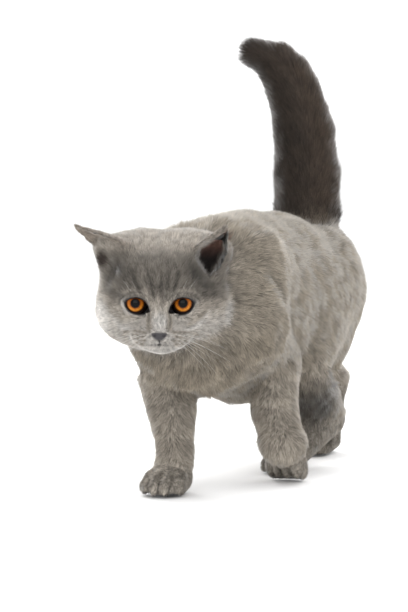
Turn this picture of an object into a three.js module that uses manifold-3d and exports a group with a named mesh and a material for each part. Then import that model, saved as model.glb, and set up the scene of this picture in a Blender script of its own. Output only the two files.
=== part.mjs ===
// A young British Shorthair cat in mid-walk, life size, looking up and to its left over the
// planted forefoot. Millimetres, +Z up, the cat walks towards -Y and +X is its left side.
//
// The animal is described once, as a set of rounded masses (bone and muscle with the coat over
// them) that blend into one another. Every named solid is a capsule or a sphere whose vertices
// are cast outwards until they meet that shared surface, so neighbours always line up. The
// solids are then parted from one another with thin cuts.
import * as THREE from 'three';
import { LoftGeometry } from 'three/addons/geometries/LoftGeometry.js';
import { mergeVertices } from 'three/addons/utils/BufferGeometryUtils.js';
import Module from 'manifold-3d';

const wasm = await Module();
wasm.setup();

// ------------------------------------------------------------------ driving sizes
const GAP = 0.3; // air between neighbouring solids
const MIDLINE = -5; // X of the spine
const BACK_TOP = 216; // height of the back above the floor, coat included
const BELLY_LOW = 60; // lowest point of the belly coat
const TRUNK_HALF = 52; // half the width of the trunk
const HEAD_AT = [-29, -12, 157]; // centre of the head
const HEAD_YAW = 20; // degrees the face turns to the cat's left
const HEAD_PITCH = 20; // degrees the face tips down
const HEAD_HALF = 55.5; // half the width across the cheeks
const CHEEK_MIDDLE = 1.5; // the fuller cheek is on the outside of the turn of the neck
const EYE_APART = 36.4; // between the centres of the eyeballs
const EYE_MIDDLE = -1.1; // and their middle, across the head
const EYE_HIGH = 3.5; // eye centre above the head's centre, in the head's own frame
const EYE_BACK = -31.5; // eyeball centre, forwards of the head's centre
const EYE_RADIUS = 10.2;
const EYE_OPEN = [19.4, 11.4]; // width and height of the opening between the lids
const LIDS_AT = { [-1]: -19, [1]: 15 }; // middle of each opening, across the head
const EYE_SLANT = 17; // degrees the outer corner is lifted
const PAW_WIDE = 38.6;
const HIND_PAW_WIDE = 33;
const TAIL_HALF = [30, 30, 29, 27, 25, 22.5, 19, 15]; // half width along the tail, root to tip
const TAIL_LINE = [[-4, 236, 172], [-5.5, 243, 205], [-6.5, 246, 240], [-9.5, 247, 275],
  [-15, 247, 303], [-23.5, 246, 325], [-36, 245, 342], [-52, 244, 348]];

// Ears in the head's frame: the left one pricked, the right one turned out to the side.
const EARS = {
  ear_left: { base: [34.5, -13, 28], tip: [52, -5, 55], opens: [0.55, -0.85, 0.1], wide: 38, cup: 0.5 },
  ear_right: { base: [-38, -2, 31], tip: [-71, 8, 48], opens: [-0.45, -0.75, -0.5], wide: 36,
    cup: 0.5 },
};

// Joint centres, cat's left and right limbs.
const LEFT_FORE = { blade: [32, 44, 181], shoulder: [38, 22, 128], elbow: [29, 81, 97],
  shin: [34, 63, 60], wrist: [47, 50, 34], knuckle: [43, 70, 14], toe: [42, 76, 0] };
const RIGHT_FORE = { blade: [-38, 38, 180], shoulder: [-44, 4, 128], elbow: [-44, 31, 91],
  wrist: [-20.5, -9, 29], toe: [-18, -29.5, 0] };
const LEFT_HIND = { hip: [22, 226, 158], knee: [36, 142, 97], hock: [30, 205, 36],
  toe: [19, 127, 0] };
const RIGHT_HIND = { hip: [-30, 226, 158], knee: [-36, 180, 96], hock: [8, 272, 62],
  toe: [7, 246, 0] };

// ------------------------------------------------------------------ coat colours
const COAT = { head: 0x82807f, body: 0x8a8479, leg: 0x7d786f, tail: 0x4a4039, ear: 0x6f6762 };
const IRIS = 0xb8762a;

// ------------------------------------------------------------------ masses
const vec = (p) => new THREE.Vector3(p[0], p[1], p[2]);
const mix = (a, b, t) => a + (b - a) * t;

/** A rounded mass from one point to another: half widths across and half heights, end to end. */
function mass(from, to, wide, tall = wide, across = [1, 0, 0]) {
  const a = vec(from);
  const run = vec(to).sub(a);
  const length = run.length();
  const along = length > 1e-3 ? run.clone().normalize() : new THREE.Vector3(0, 1, 0);
  const side = vec(across);
  side.addScaledVector(along, -side.dot(along)).normalize();
  const up = side.clone().cross(along);
  return (p) => {
    const x = p.x - a.x, y = p.y - a.y, z = p.z - a.z;
    const s = x * along.x + y * along.y + z * along.z;
    const h = length > 1e-3 ? Math.min(1, Math.max(0, s / length)) : 0;
    const w = mix(wide[0], wide[1], h), t = mix(tall[0], tall[1], h), l = (w + t) / 2;
    const qs = x * side.x + y * side.y + z * side.z;
    const qu = x * up.x + y * up.y + z * up.z;
    const qa = s - h * length;
    const k0 = Math.hypot(qs / w, qa / l, qu / t);
    const k1 = Math.hypot(qs / w / w, qa / l / l, qu / t / t);
    return k1 > 1e-9 ? (k0 * (k0 - 1)) / k1 : -Math.min(w, t);
  };
}

/** A rounded mass about one point, with its three half sizes. */
function lump(at, [wide, deep, high], turn = [0, 0, 0]) {
  const inverse = new THREE.Matrix4().makeRotationFromEuler(new THREE.Euler(
    ...turn.map(THREE.MathUtils.degToRad))).setPosition(vec(at)).invert();
  const q = new THREE.Vector3();
  return (p) => {
    q.copy(p).applyMatrix4(inverse);
    const k0 = Math.hypot(q.x / wide, q.y / deep, q.z / high);
    const k1 = Math.hypot(q.x / wide / wide, q.y / deep / deep, q.z / high / high);
    return k1 > 1e-9 ? (k0 * (k0 - 1)) / k1 : -Math.min(wide, deep, high);
  };
}

/** Two signed distances joined with a fillet about `soft` millimetres wide. */
function join(a, b, soft) {
  const h = Math.max(soft - Math.abs(a - b), 0) / soft;
  return Math.min(a, b) - (h * h * soft) / 4;
}

const blend = (list, soft) => (p) => list.reduce((d, f) => join(d, f(p), soft), 1e3);
const hollow = (body, dents, soft) => (p) => dents.reduce((d, f) => -join(-d, f(p), soft), body(p));
const within = (field, matrix) => {
  const inverse = matrix.clone().invert();
  const q = new THREE.Vector3();
  return (p) => field(q.copy(p).applyMatrix4(inverse));
};

// ------------------------------------------------------------------ the trunk and neck
const trunkMid = (BACK_TOP + BELLY_LOW) / 2;
const trunkTall = (BACK_TOP - BELLY_LOW) / 2;
const TRUNK = blend([
  lump([MIDLINE - 3, 8, 116], [41, 34, 43]), // breast
  mass([MIDLINE, 45, 139], [MIDLINE, 90, trunkMid], [TRUNK_HALF - 6, TRUNK_HALF],
    [70, trunkTall - 2]), // ribs
  mass([MIDLINE, 90, trunkMid], [MIDLINE + 1, 158, trunkMid], [TRUNK_HALF, TRUNK_HALF],
    [trunkTall - 2, trunkTall - 5]), // belly
  mass([MIDLINE + 1, 160, trunkMid + 3], [MIDLINE + 2, 230, 150], [TRUNK_HALF - 2, 42],
    [trunkTall - 8, 51]), // loin
  lump([MIDLINE + 2, 250, 150], [40, 36, 50]), // rump
], 20);
const NECK = mass([MIDLINE - 2, 48, 164], [-22, 22, 149], [45, 34], [50, 38]);

// ------------------------------------------------------------------ the limbs
const towards = (from, to, t) => from.map((v, i) => mix(v, to[i], t));
const offset = (p, d) => p.map((v, i) => v + d[i]);

/** Four toes side by side in front of a paw's pad, pointing along -Y before the paw is turned. */
function pawMasses(wide, long, high) {
  const step = wide / 4.35;
  const toes = [-1.5, -0.5, 0.5, 1.5].map((k) => {
    const reach = Math.abs(k) > 1 ? long * 0.38 : long * 0.52;
    return mass([k * step * 0.92, -long * 0.12, high * 0.52], [k * step, -reach, high * 0.36],
      [wide * 0.14, wide * 0.128], [high * 0.44, high * 0.38]);
  });
  const pad = lump([0, long * 0.08, high * 0.5], [wide * 0.47, long * 0.36, high * 0.58]);
  return blend([pad, ...toes], 2.2);
}

function pawFrame(at, yaw) {
  return new THREE.Matrix4().makeRotationZ(THREE.MathUtils.degToRad(yaw)).setPosition(vec(at));
}

const RIGHT_PAW = within(pawMasses(PAW_WIDE, 44, 22), pawFrame(RIGHT_FORE.toe, 10));
const LEFT_TOES = blend([-1.5, -0.5, 0.5, 1.5].map((k) => mass(
  offset(LEFT_FORE.knuckle, [k * 8.2, -3, 0]),
  offset(LEFT_FORE.toe, [k * 8, Math.abs(k) > 1 ? -1 : 2, 5.5]), [5.8, 5.2], [8.5, 6.5])), 2);
const LEFT_HIND_PAW = within(pawMasses(HIND_PAW_WIDE, 50, 20), pawFrame(LEFT_HIND.toe, 4));
const RIGHT_HIND_PAW = within(pawMasses(HIND_PAW_WIDE, 50, 20), pawFrame(RIGHT_HIND.toe, 2));

const SHOULDER_LEFT = [
  mass(LEFT_FORE.blade, LEFT_FORE.shoulder, [19, 20], [32, 26]),
  mass(LEFT_FORE.shoulder, LEFT_FORE.elbow, [20, 17], [26, 21]),
];
const SHOULDER_RIGHT = [
  mass(RIGHT_FORE.blade, RIGHT_FORE.shoulder, [19, 20], [32, 26]),
  mass(RIGHT_FORE.shoulder, RIGHT_FORE.elbow, [24, 21], [27, 23]),
];
const FOREARM_LEFT = [
  mass(LEFT_FORE.elbow, LEFT_FORE.shin, [21, 18], [21, 18]),
  mass(LEFT_FORE.shin, LEFT_FORE.wrist, [18, 18], [18, 15]),
  lump(offset(LEFT_FORE.wrist, [0, -1, 0]), [18.5, 15.5, 14]),
];
const FOREARM_RIGHT = [
  mass(RIGHT_FORE.elbow, RIGHT_FORE.wrist, [27, 13.4], [26, 14]),
  lump(offset(RIGHT_FORE.elbow, [8, 15, -8]), [16, 19, 18]), // point of the elbow
  mass(RIGHT_FORE.wrist, offset(RIGHT_FORE.toe, [0, 8, 12]), [12.8, 16], [14, 13]),
];
const HAND_LEFT = [mass(LEFT_FORE.wrist, LEFT_FORE.knuckle, [16.5, 16], [13, 11]), LEFT_TOES];
const HAND_RIGHT = [RIGHT_PAW];

const THIGH_LEFT = [
  mass(LEFT_HIND.hip, LEFT_HIND.knee, [26, 19], [46, 26]),
  mass([24, 254, 142], [30, 206, 88], [18, 14], [24, 17]),
];
const THIGH_RIGHT = [
  mass(RIGHT_HIND.hip, RIGHT_HIND.knee, [26, 19], [46, 27]),
  mass([-28, 258, 142], [-14, 250, 88], [18, 14], [24, 18]),
];
const SHANK_LEFT = [
  mass(offset(LEFT_HIND.knee, [0, -2, -8]), LEFT_HIND.hock, [20, 12.5], [27, 16]),
  mass(offset(LEFT_HIND.knee, [-2, -5, -12]), [26, 170, 52], [19, 15], [23, 20]),
];
const SHANK_RIGHT = [mass(RIGHT_HIND.knee, RIGHT_HIND.hock, [19.5, 15], [26, 16])];
const FOOT_LEFT = [
  mass(LEFT_HIND.hock, offset(LEFT_HIND.toe, [0, 16, 11]), [12.5, 14], [15, 12]),
  LEFT_HIND_PAW,
];
const FOOT_RIGHT = [
  mass(RIGHT_HIND.hock, offset(RIGHT_HIND.toe, [0, 9, 12]), [12.5, 14.5], [15, 13]),
  RIGHT_HIND_PAW,
];

// ------------------------------------------------------------------ the head, in its own frame
const eyeX = (side) => EYE_MIDDLE + (side * EYE_APART) / 2;
const EAR_HOLLOWS = [lump([45, -28, 27], [12, 12, 13]), lump([-45, -20, 23], [10, 10, 10])];
const HEAD_FRAME = new THREE.Matrix4().makeRotationFromEuler(new THREE.Euler(
  THREE.MathUtils.degToRad(HEAD_PITCH), 0, THREE.MathUtils.degToRad(HEAD_YAW), 'ZYX'))
  .setPosition(vec(HEAD_AT));
const both = (make) => [make(-1), make(1)];
const SKULL = blend([
  ...both((s) => lump([s * 17, 9, 12], [33, 41, 33.8])), // cranium
  ...both((s) => lump([s * 41, 6, 34], [15, 13, 11])), // roots of the ears
  ...both((s) => lump([s * (HEAD_HALF - 30.5) + CHEEK_MIDDLE, -6, -13], [30.5, 31, 27])), // cheeks
  lump([0, -4, -28], [30, 33, 17]), // throat
  lump([0, -22, 20], [30, 24, 20]), // forehead
], 12);
const FACE = blend([
  hollow(SKULL, both((s) => lump([eyeX(s), -49, EYE_HIGH + 1], [14, 7, 8])), 6),
  mass([0, -35, 8], [0, -48.5, -10], [11, 9], [9, 7.5]), // bridge of the nose
  ...both((s) => lump([s * 9.5, -40, -19], [14, 14.5, 11])), // whisker pads
  lump([0, -38, -27], [11.5, 11, 8]), // chin
], 7);
const HEAD = within(hollow(FACE, EAR_HOLLOWS, 5), HEAD_FRAME);

// ------------------------------------------------------------------ solids
/** A capsule laid along a line of points, its skin cast out to where the field is `level`. */
function cast(points, field, [around, along, cap], level = 0) {
  const capsule = new THREE.CapsuleGeometry(1, 1, cap, around, along);
  const curve = new THREE.CatmullRomCurve3(points.map(vec));
  const spots = capsule.attributes.position;
  const frames = curve.computeFrenetFrames(40, false);
  const put = new THREE.Vector3();
  for (let i = 0; i < spots.count; i += 1) {
    const y = spots.getY(i);
    const s = Math.min(1, Math.max(0, y + 0.5));
    const end = y - (s - 0.5);
    const k = Math.round(s * 40);
    const way = new THREE.Vector3()
      .addScaledVector(frames.normals[k], spots.getX(i))
      .addScaledVector(frames.tangents[k], end)
      .addScaledVector(frames.binormals[k], -spots.getZ(i)).normalize();
    reach(put, curve.getPointAt(s), way, field, level);
    spots.setXYZ(i, put.x, put.y, put.z);
  }
  return solid(capsule);
}

/** The first point along a ray, from inside the body, where the field rises to `level`. */
function reach(put, from, way, field, level) {
  let inside = 0, outside = 0;
  for (let n = 0; n < 400; n += 1) {
    const d = field(put.copy(from).addScaledVector(way, outside));
    if (d > level) break;
    inside = outside;
    outside += Math.max(0.6, Math.min(6, (level - d) * 0.6));
  }
  for (let n = 0; n < 18; n += 1) {
    const half = (inside + outside) / 2;
    if (field(put.copy(from).addScaledVector(way, half)) > level) outside = half;
    else inside = half;
  }
  put.copy(from).addScaledVector(way, Math.max(inside, 0.05));
}

/** A geometry as a solid that can be joined and cut. */
function solid(geometry) {
  const bare = geometry.clone();
  bare.deleteAttribute('normal');
  bare.deleteAttribute('uv');
  const merged = mergeVertices(bare, 1e-3);
  return new wasm.Manifold(new wasm.Mesh({ numProp: 3,
    vertProperties: merged.attributes.position.array,
    triVerts: new Uint32Array(merged.index.array) }));
}

/** Everything on the side of a plane away from where `facing` points, as a big block. */
function behind(point, facing) {
  const block = new THREE.BoxGeometry(900, 900, 900).translate(0, 0, -450);
  const turn = new THREE.Quaternion().setFromUnitVectors(new THREE.Vector3(0, 0, 1),
    vec(facing).normalize());
  return solid(block.applyQuaternion(turn).translate(...point));
}

/** The part of a body behind a plane, short of it by half the gap. */
function trim(body, point, facing, gap = GAP / 2) {
  const short = vec(facing).normalize().multiplyScalar(-gap);
  return body.intersect(behind(offset(point, short.toArray()), facing));
}

/** The biggest of the bodies a cut has left. */
const biggest = (body) => body.decompose().reduce((a, b) => (b.volume() > a.volume() ? b : a));

/** The blunt post across the body (along X) that marks off a shoulder or a haunch. */
function rootPost({ at, half, lean, inner, side }, grow = 0) {
  const shape = new THREE.CylinderGeometry(1, 1, 130, 12).rotateZ(Math.PI / 2)
    .scale(1, half[0] + grow, half[1] + grow)
    .rotateX(THREE.MathUtils.degToRad(lean))
    .translate(inner + side * (65 - grow), at[0], at[1]);
  return solid(shape);
}

/** Signed distance, roughly, into such a post: negative inside it. */
function rootField({ at, half, lean, inner, side }) {
  const angle = THREE.MathUtils.degToRad(lean);
  return (p) => {
    const y = p.y - at[0], z = p.z - at[1];
    const v = (y * Math.cos(angle) + z * Math.sin(angle)) / half[0];
    const w = (z * Math.cos(angle) - y * Math.sin(angle)) / half[1];
    return Math.max((Math.hypot(v, w) - 1) * Math.min(...half), (inner - p.x) * side);
  };
}

// Where each limb's root is marked off the trunk: centre (Y, Z), half sizes, lean, inner X.
const ROOTS = {
  upper_arm_left: { at: [48, 140], half: [44, 54], lean: -14, inner: 20, side: 1 },
  upper_arm_right: { at: [32, 138], half: [42, 54], lean: -12, inner: -32, side: -1 },
  thigh_left: { at: [196, 128], half: [72, 52], lean: 34, inner: 12, side: 1 },
  thigh_right: { at: [212, 126], half: [62, 52], lean: 40, inner: -22, side: -1 },
};

const SPARE = 12; // left over at a cut so that the cut itself is clean
const planeField = ([at, facing]) => {
  const n = vec(facing).normalize();
  return (p) => (p.x - at[0]) * n.x + (p.y - at[1]) * n.y + (p.z - at[2]) * n.z;
};

/** One solid: cast to the field, stopped a little past each cut, then cut. */
function piece({ line, field, mesh, cuts = [], less = [], level = 0 }) {
  const limits = cuts.map(planeField);
  const limited = (p) => limits.reduce((d, f) => Math.max(d, f(p) - SPARE), field(p));
  const body = cuts.reduce((b, [at, facing]) => trim(b, at, facing),
    cast(line, limited, mesh, level));
  return less.reduce((b, other) => b.subtract(other), body);
}

const headPoint = (p) => vec(p).applyMatrix4(HEAD_FRAME).toArray();
const headWay = (d) => vec(d).transformDirection(HEAD_FRAME).toArray();
const HEAD_PLANE = [headPoint([0, 26, 0]), headWay([0, -0.8, 0.6])];
const NECK_PLANE = [[-14, 8, 140], [0, -0.72, 0.69]];
const opposite = ([at, facing]) => [at, facing.map((v) => -v)];
const FLOOR = [[0, 0, -GAP / 2], [0, 0, -1]];

// The torso is modelled whole, with the shoulders, haunches and nape, and parted afterwards.
const PROXIMAL = [...SHOULDER_LEFT, ...SHOULDER_RIGHT, ...THIGH_LEFT, ...THIGH_RIGHT];
const BODY = blend([TRUNK, NECK, ...PROXIMAL], 14);
const TORSO_LINE = [[-20, 20, 152], [MIDLINE - 3, 56, 150], [MIDLINE, 120, 138],
  [MIDLINE + 2, 232, 150]];
const torsoMesh = [24, 14, 5];
const torso = cast(TORSO_LINE, BODY, torsoMesh);
const torsoGrown = cast(TORSO_LINE, BODY, torsoMesh, GAP);

const parts = {};

// The head, with sockets and lids cut for the eyes.
const headCast = (level) => {
  const ball = new THREE.SphereGeometry(1, 32, 24);
  const spots = ball.attributes.position;
  const limit = planeField(opposite(HEAD_PLANE));
  const limited = (p) => Math.max(HEAD(p), limit(p) - SPARE - level);
  const put = new THREE.Vector3();
  const from = vec(headPoint([0, -19, -5]));
  for (let i = 0; i < spots.count; i += 1) {
    const way = new THREE.Vector3().fromBufferAttribute(spots, i).transformDirection(HEAD_FRAME);
    reach(put, from, way, limited, level);
    spots.setXYZ(i, put.x, put.y, put.z);
  }
  return solid(ball);
};
const headGrown = trim(headCast(GAP), ...opposite(HEAD_PLANE), -GAP / 2);
parts.head = trim(headCast(0), ...opposite(HEAD_PLANE));

/** The almond opening between the lids, as a cutter running forwards from the eyeball's centre. */
function lidCutter(side) {
  const [w, h] = EYE_OPEN.map((v) => v / 2);
  const almond = new THREE.Shape();
  almond.moveTo(-w, -h * 0.35);
  almond.bezierCurveTo(-w * 0.7, h * 0.9, w * 0.35, h * 1.35, w, h * 0.35);
  almond.bezierCurveTo(w * 0.75, -h * 1.1, -w * 0.35, -h * 1.45, -w, -h * 0.35);
  const block = new THREE.ExtrudeGeometry(almond, { depth: 40, bevelEnabled: false,
    curveSegments: 7 });
  block.rotateX(Math.PI / 2);
  if (side < 0) block.scale(-1, 1, 1);
  block.rotateY(-side * THREE.MathUtils.degToRad(EYE_SLANT - 10));
  block.translate(LIDS_AT[side], EYE_BACK, EYE_HIGH).applyMatrix4(HEAD_FRAME);
  const made = solid(side < 0 ? flipped(block) : block);
  return made;
}

/** The same geometry with its faces turned round. */
function flipped(geometry) {
  const index = geometry.index ? geometry.toNonIndexed() : geometry;
  const spots = index.attributes.position;
  const a = new THREE.Vector3(), c = new THREE.Vector3();
  for (let i = 0; i < spots.count; i += 3) {
    a.fromBufferAttribute(spots, i);
    c.fromBufferAttribute(spots, i + 2);
    spots.setXYZ(i, c.x, c.y, c.z);
    spots.setXYZ(i + 2, a.x, a.y, a.z);
  }
  return index;
}

const eyeball = (side, radius) => solid(new THREE.SphereGeometry(radius, 14, 10)
  .translate(eyeX(side), EYE_BACK, EYE_HIGH).applyMatrix4(HEAD_FRAME));
for (const side of [-1, 1]) {
  parts.head = parts.head.subtract(lidCutter(side)).subtract(eyeball(side, EYE_RADIUS + GAP));
  parts[side > 0 ? 'eye_left' : 'eye_right'] = eyeball(side, EYE_RADIUS);
}

/** An ear: a cupped, pointed shell on the side of the head. */
function earShell({ base, tip, opens, wide, cup }) {
  const root = vec(base), end = vec(tip);
  const up = end.clone().sub(root);
  const long = up.length();
  up.normalize();
  const front = vec(opens);
  front.addScaledVector(up, -front.dot(up)).normalize();
  const across = up.clone().cross(front);
  const rings = [];
  for (let n = 0; n <= 7; n += 1) {
    const t = mix(-0.28, 1, n / 7);
    const spread = wide / 2 * Math.max(0.14, Math.pow(Math.max(0, 1 - Math.max(0, t)), 0.72));
    const thick = mix(4.4, 2, Math.max(0, t));
    const ring = [];
    const steps = 6;
    for (let k = 0; k <= steps; k += 1) {
      ring.push(earPoint(t, (k / steps) * 2 - 1, spread, -thick));
    }
    for (let k = steps; k >= 0; k -= 1) {
      ring.push(earPoint(t, ((k / steps) * 2 - 1) * 0.92, spread, 0));
    }
    rings.push(ring.reverse());
  }
  function earPoint(t, k, spread, inset) {
    const angle = k * Math.PI / 2;
    return root.clone().addScaledVector(up, t * long)
      .addScaledVector(across, Math.sin(angle) * spread)
      .addScaledVector(front, inset - Math.cos(angle) * spread * cup - t * t * 2);
  }
  const shell = new LoftGeometry(rings, { closed: true, capStart: true, capEnd: true });
  return solid(shell.applyMatrix4(HEAD_FRAME));
}

for (const [name, ear] of Object.entries(EARS)) {
  let shell = earShell(ear);
  if (shell.volume() < 0) throw new Error(name + ' is inside out');
  parts[name] = shell.subtract(headGrown);
}

// The tail, in three lengths.
const TAIL = blend(TAIL_LINE.slice(1).map((p, i) => mass(TAIL_LINE[i], p,
  [TAIL_HALF[i], TAIL_HALF[i + 1]])), 5);
const tailMesh = [16, 11, 3];
const tailGrown = cast(TAIL_LINE, TAIL, tailMesh, GAP);
const tailWhole = cast(TAIL_LINE, TAIL, tailMesh);
const tailCurve = new THREE.CatmullRomCurve3(TAIL_LINE.map(vec));
const tailCutAt = (s) => [tailCurve.getPointAt(s).toArray(), tailCurve.getTangentAt(s).toArray()];
const [firstCut, secondCut] = [tailCutAt(0.42), tailCutAt(0.72)];
parts.tail_root = trim(tailWhole, ...firstCut);
parts.tail_middle = trim(trim(tailWhole, ...opposite(firstCut)), ...secondCut);
parts.tail_tip = trim(tailWhole, ...opposite(secondCut));

// The torso parted into neck, trunk and the four limb roots.
const shorn = torso.subtract(headGrown).subtract(tailGrown);
parts.neck = biggest(trim(shorn, ...opposite(NECK_PLANE)));
const behindNeck = trim(shorn, ...NECK_PLANE);
parts.trunk = biggest(Object.values(ROOTS).reduce((b, r) => b.subtract(rootPost(r, GAP)),
  behindNeck));
for (const [name, root] of Object.entries(ROOTS)) {
  parts[name] = biggest(behindNeck.intersect(rootPost(root)));
}

// The free lengths of the limbs: forearm or shank, then paw or hind foot.
const LIMBS = [
  { root: 'upper_arm_left', shin: 'forearm_left', foot: 'paw_front_left',
    upper: SHOULDER_LEFT, lower: FOREARM_LEFT, end: HAND_LEFT,
    bone: [LEFT_FORE.elbow, LEFT_FORE.wrist], sole: [LEFT_FORE.wrist, LEFT_FORE.knuckle],
    cut: [[46, 56, 25], [0, 0.75, -0.66]], mesh: [18, 3, 4] },
  { root: 'upper_arm_right', shin: 'forearm_right', foot: 'paw_front_right',
    upper: SHOULDER_RIGHT, lower: FOREARM_RIGHT, end: HAND_RIGHT,
    bone: [RIGHT_FORE.elbow, RIGHT_FORE.wrist], sole: [[-18, -19, 11], [-15.5, -38, 9]],
    cut: [[-20, -12, 21], [0, -0.3, -0.95]], mesh: [18, 4, 4] },
  { root: 'thigh_left', shin: 'shank_left', foot: 'paw_hind_left',
    upper: THIGH_LEFT, lower: SHANK_LEFT, end: FOOT_LEFT,
    bone: [LEFT_HIND.knee, LEFT_HIND.hock], sole: [[29, 198, 30], [20, 130, 10]],
    cut: [[30, 200, 42], [0, 0, -1]], mesh: [16, 7, 4] },
  { root: 'thigh_right', shin: 'shank_right', foot: 'paw_hind_right',
    upper: THIGH_RIGHT, lower: SHANK_RIGHT, end: FOOT_RIGHT,
    bone: [RIGHT_HIND.knee, RIGHT_HIND.hock], sole: [[7, 268, 50], [7, 252, 12], [7, 238, 9]],
    cut: [[6, 262, 58], [0.1, 0.3, -0.95]], mesh: [16, 7, 4] },
];
for (const limb of LIMBS) {
  const leg = blend([...limb.upper.slice(-2), ...limb.lower, ...limb.end], 8);
  const [top, low] = limb.bone;
  parts[limb.shin] = biggest(piece({ line: [towards(top, low, 0.15), low], field: leg,
    mesh: [16, 5, 3], cuts: [limb.cut], less: [rootPost(ROOTS[limb.root], GAP), torsoGrown] }));
  parts[limb.foot] = biggest(piece({ line: limb.sole, field: blend([...limb.lower, ...limb.end], 4),
    mesh: limb.mesh, cuts: [opposite(limb.cut), FLOOR] }));
}

// ------------------------------------------------------------------ the finished group
const colourOf = (name) => {
  if (name.startsWith('eye')) return IRIS;
  if (name.startsWith('ear')) return COAT.ear;
  if (name.startsWith('tail')) return COAT.tail;
  if (name === 'head') return COAT.head;
  return name === 'trunk' || name === 'neck' ? COAT.body : COAT.leg;
};

/** A solid as a named mesh in its own colour. */
function meshOf(name, body) {
  const { vertProperties, triVerts } = body.getMesh();
  const geometry = new THREE.BufferGeometry()
    .setAttribute('position', new THREE.BufferAttribute(new Float32Array(vertProperties), 3))
    .setIndex(new THREE.BufferAttribute(new Uint32Array(triVerts), 1));
  geometry.computeVertexNormals();
  const mesh = new THREE.Mesh(geometry, new THREE.MeshStandardMaterial({
    color: colourOf(name), roughness: name.startsWith('eye') ? 0.12 : 0.95, metalness: 0 }));
  mesh.name = name;
  return mesh;
}

const cat = new THREE.Group();
cat.name = 'cat';
for (const [name, body] of Object.entries(parts)) cat.add(meshOf(name, body));
// The origin is on the floor under the middle of the cat's bounding box.
const box = new THREE.Box3().setFromObject(cat);
const middle = box.getCenter(new THREE.Vector3());
for (const mesh of cat.children) mesh.geometry.translate(-middle.x, -middle.y, -box.min.z);

export default cat;
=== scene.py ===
# %% [markdown]
# # A young blue British Shorthair, walking
#
# This notebook dresses a walking cat in skin, eyes and a plush coat. The solids of the cat are
# already there: a head, two ears, two eyes, a neck, a trunk, four legs in three lengths each and
# a tail in three lengths. They reach out to the tips of the coat. The skin lies inside them, the
# tufts end near their surface, and only the whiskers reach well past it.
#
# The order is: skin, face, coat, eyes and whiskers, then floor, light and camera. Lengths in the
# arrays are millimetres, because a coat is easier to think about that way. They become metres
# only when a mesh is made.

# %% Load the solids
import bpy
import bmesh
import math
import time
import numpy as np
from mathutils import Matrix, Vector
from mathutils.bvhtree import BVHTree


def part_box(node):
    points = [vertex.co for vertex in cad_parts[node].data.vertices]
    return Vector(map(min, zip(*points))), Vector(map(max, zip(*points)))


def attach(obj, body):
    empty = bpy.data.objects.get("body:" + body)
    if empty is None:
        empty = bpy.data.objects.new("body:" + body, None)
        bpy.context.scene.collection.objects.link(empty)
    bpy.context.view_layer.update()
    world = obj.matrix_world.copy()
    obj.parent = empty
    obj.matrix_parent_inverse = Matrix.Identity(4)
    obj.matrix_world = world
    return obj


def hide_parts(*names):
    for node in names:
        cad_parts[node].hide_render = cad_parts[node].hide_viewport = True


started = time.time()
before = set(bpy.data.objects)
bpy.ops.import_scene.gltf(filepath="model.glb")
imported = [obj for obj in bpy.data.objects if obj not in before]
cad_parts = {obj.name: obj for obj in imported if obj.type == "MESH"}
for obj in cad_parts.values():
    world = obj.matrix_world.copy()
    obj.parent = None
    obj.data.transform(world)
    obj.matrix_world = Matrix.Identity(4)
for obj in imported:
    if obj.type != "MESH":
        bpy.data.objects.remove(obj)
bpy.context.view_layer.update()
rng = np.random.default_rng(11)


def lap(what):
    print(f"{what}: {time.time() - started:.1f} s")


# %% [markdown]
# ## Small helpers for arrays
#
# A mesh of this size is too slow to change one vertex at a time, so positions live in arrays.
# `smooth_step` is the soft switch used everywhere: 0 below one edge, 1 above the other.
# `noise` is value noise on a lattice. It gives blobs of a chosen size, the same ones each run.

# %% Array helpers
def smooth_step(low, high, x):
    t = np.clip((x - low) / (high - low), 0, 1)
    return t * t * (3 - 2 * t)


def unit(v):
    return v / np.maximum(np.linalg.norm(v, axis=-1, keepdims=True), 1e-9)


def dot(a, b):
    return np.einsum("...i,...i->...", a, b)


def lattice(c, seed):
    """A number from -1 to 1 for each cell of a lattice, the same one each run."""
    h = (c[:, 0] * 73856093) ^ (c[:, 1] * 19349663) ^ (c[:, 2] * 83492791) ^ (seed * 2654435)
    h = ((h ^ (h >> 13)) * 1274126177) & 0x7FFFFFFF
    h ^= h >> 15
    return (h & 0xFFFF) / 32767.5 - 1


def cells(p, size, seed):
    """Flecks about `size` across, each of one value from -1 to 1."""
    return lattice(np.floor(p / size).astype(np.int64), seed)


def noise(p, size, seed):
    """Smooth noise from -1 to 1 in blobs about `size` across."""
    q = p / size
    cell = np.floor(q).astype(np.int64)
    f = q - cell
    f = f * f * (3 - 2 * f)
    total = np.zeros(len(p))
    for corner in range(8):
        step = np.array([(corner >> k) & 1 for k in range(3)])
        total += np.prod(np.where(step, f, 1 - f), axis=1) * lattice(cell + step, seed)
    return total


def read_mesh(mesh):
    """Vertices in millimetres and the triangles of a mesh."""
    spots = np.empty(len(mesh.vertices) * 3)
    mesh.vertices.foreach_get("co", spots)
    mesh.calc_loop_triangles()
    tri = np.empty(len(mesh.loop_triangles) * 3, np.int32)
    mesh.loop_triangles.foreach_get("vertices", tri)
    return spots.reshape(-1, 3) * 1000, tri.reshape(-1, 3)


def write_spots(mesh, spots):
    mesh.vertices.foreach_set("co", (spots / 1000).ravel())
    mesh.update()


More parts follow.
